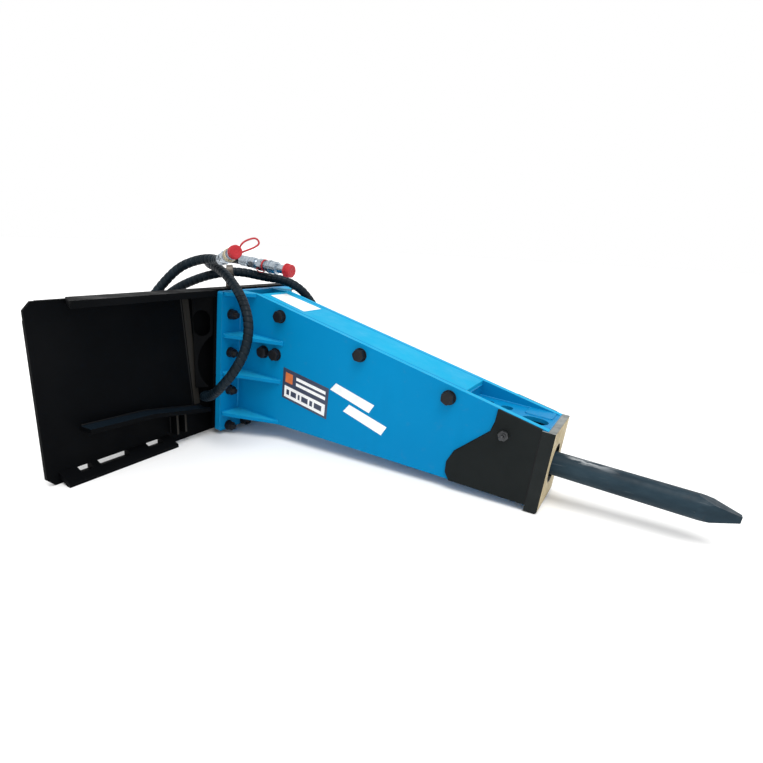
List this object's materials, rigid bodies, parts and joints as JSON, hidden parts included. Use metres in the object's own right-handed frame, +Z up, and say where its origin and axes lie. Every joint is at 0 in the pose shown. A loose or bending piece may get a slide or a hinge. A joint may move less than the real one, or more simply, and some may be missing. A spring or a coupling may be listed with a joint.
{
  "type": "hydraulic breaker hammer",
  "caption": "Hydraulic breaker with a moil point in a tapered box housing, on a skid-steer coupler plate with two supply hoses.",
  "frame": {"origin": "on the coupler plate's rear mating face, at mid height, on the breaker's centre plane", "axes": "+X from the coupler plate towards the tool point, +Y across the plate, +Z up; the breaker's own axis runs down towards the point by 4 degrees"},
  "size_m": [1.9055, 1.097, 0.6909],
  "materials": {
    "black_paint": "satin",
    "blue_paint": "gloss",
    "cover_paint": "gloss",
    "wear_black": "satin",
    "end_block": "satin",
    "cell_paint": "satin",
    "black_oxide": "black oxide",
    "tool_steel": "forged, oiled",
    "ground_steel": "ground",
    "bush_bronze": "machined",
    "seal_rubber": "matt",
    "urethane": "matt",
    "zinc_plate": "zinc plated",
    "hose_rubber": "satin",
    "cap_red": "satin"
  },
  "bodies": {
    "breaker": {"adapter_far": "zinc_plate", "adapter_near": "zinc_plate", "back_head": "cell_paint", "bottom_lock_lip": "black_paint", "bottom_plate": "blue_paint", "cell_dampers": "urethane", "coupler_body_far": "zinc_plate", "coupler_body_near": "zinc_plate", "coupler_plate": "black_paint", "cross_bolt_nuts": "black_oxide", "cross_bolt_washers": "black_oxide", "cross_bolts": "black_oxide", "cross_spacers": "blue_paint", "cylinder_body": "cell_paint", "dust_seal": "seal_rubber", "end_plate": "end_block", "exit_fittings": "zinc_plate", "flange_gussets": "blue_paint", "flange_nuts": "black_oxide", "flange_studs": "black_oxide", "flange_washers": "black_oxide", "front_deck_plate": "blue_paint", "front_head": "cell_paint", "gas_charge_valve": "zinc_plate", "grease_fitting": "black_oxide", "hose_clamp": "zinc_plate", "hose_far": "hose_rubber", "hose_ferrule_far": "zinc_plate", "hose_ferrule_near": "zinc_plate", "hose_near": "hose_rubber", "housing_flange": "blue_paint", "lower_gussets": "black_paint", "lower_tool_bush": "bush_bronze", "mount_front_plate": "black_paint", "piston_seals": "seal_rubber", "plate_ribs": "black_paint", "port_tubes": "zinc_plate", "retaining_pins": "ground_steel", "seal_carrier": "bush_bronze", "side_plate_far": "blue_paint", "side_plate_near": "blue_paint", "through_bolt_nuts": "black_oxide", "through_bolts": "black_oxide", "thrust_ring": "bush_bronze", "top_cover": "cover_paint", "top_hook_rail": "black_paint", "top_shelf": "black_paint", "upper_buffer": "urethane", "upper_tool_bush": "bush_bronze", "valve_block": "cell_paint", "valve_cap": "cell_paint", "wear_plates": "wear_black", "wedge_sides": "black_paint"},
    "tool": {"chisel": "tool_steel"},
    "piston": {"piston": "ground_steel"},
    "spool": {"valve_spool": "ground_steel"},
    "sleeve_near": {"coupler_sleeve_near": "zinc_plate"},
    "sleeve_far": {"coupler_sleeve_far": "zinc_plate"},
    "cap_near": {"dust_cap_near": "cap_red"},
    "cap_far": {"dust_cap_far": "cap_red"}
  },
  "joints": [
    {"name": "tool_slide", "type": "slide", "parent": "breaker", "child": "tool", "axis": [0.9976, 0, -0.0698], "range_m": [-0.05, 0]},
    {"name": "piston_stroke", "type": "slide", "parent": "breaker", "child": "piston", "axis": [-0.9976, 0, 0.0698], "range_m": [0, 0.08]},
    {"name": "spool_shift", "type": "slide", "parent": "breaker", "child": "spool", "axis": [0.9976, 0, -0.0698], "range_m": [0, 0.02]},
    {"name": "sleeve_pull_near", "type": "slide", "parent": "breaker", "child": "sleeve_near", "axis": [-0.9945, 0, 0.1045], "range_m": [0, 0.008], "stiffness_N_per_m": 2500, "springref_m": -0.006},
    {"name": "sleeve_pull_far", "type": "slide", "parent": "breaker", "child": "sleeve_far", "axis": [-0.8098, 0.5698, -0.14], "range_m": [0, 0.008], "stiffness_N_per_m": 2500, "springref_m": -0.006},
    {"name": "cap_pull_near", "type": "slide", "parent": "breaker", "child": "cap_near", "axis": [0.9945, 0, -0.1045], "range_m": [0, 0.04]},
    {"name": "cap_pull_far", "type": "slide", "parent": "breaker", "child": "cap_far", "axis": [0.8098, -0.5698, 0.14], "range_m": [0, 0.04]}
  ]
}
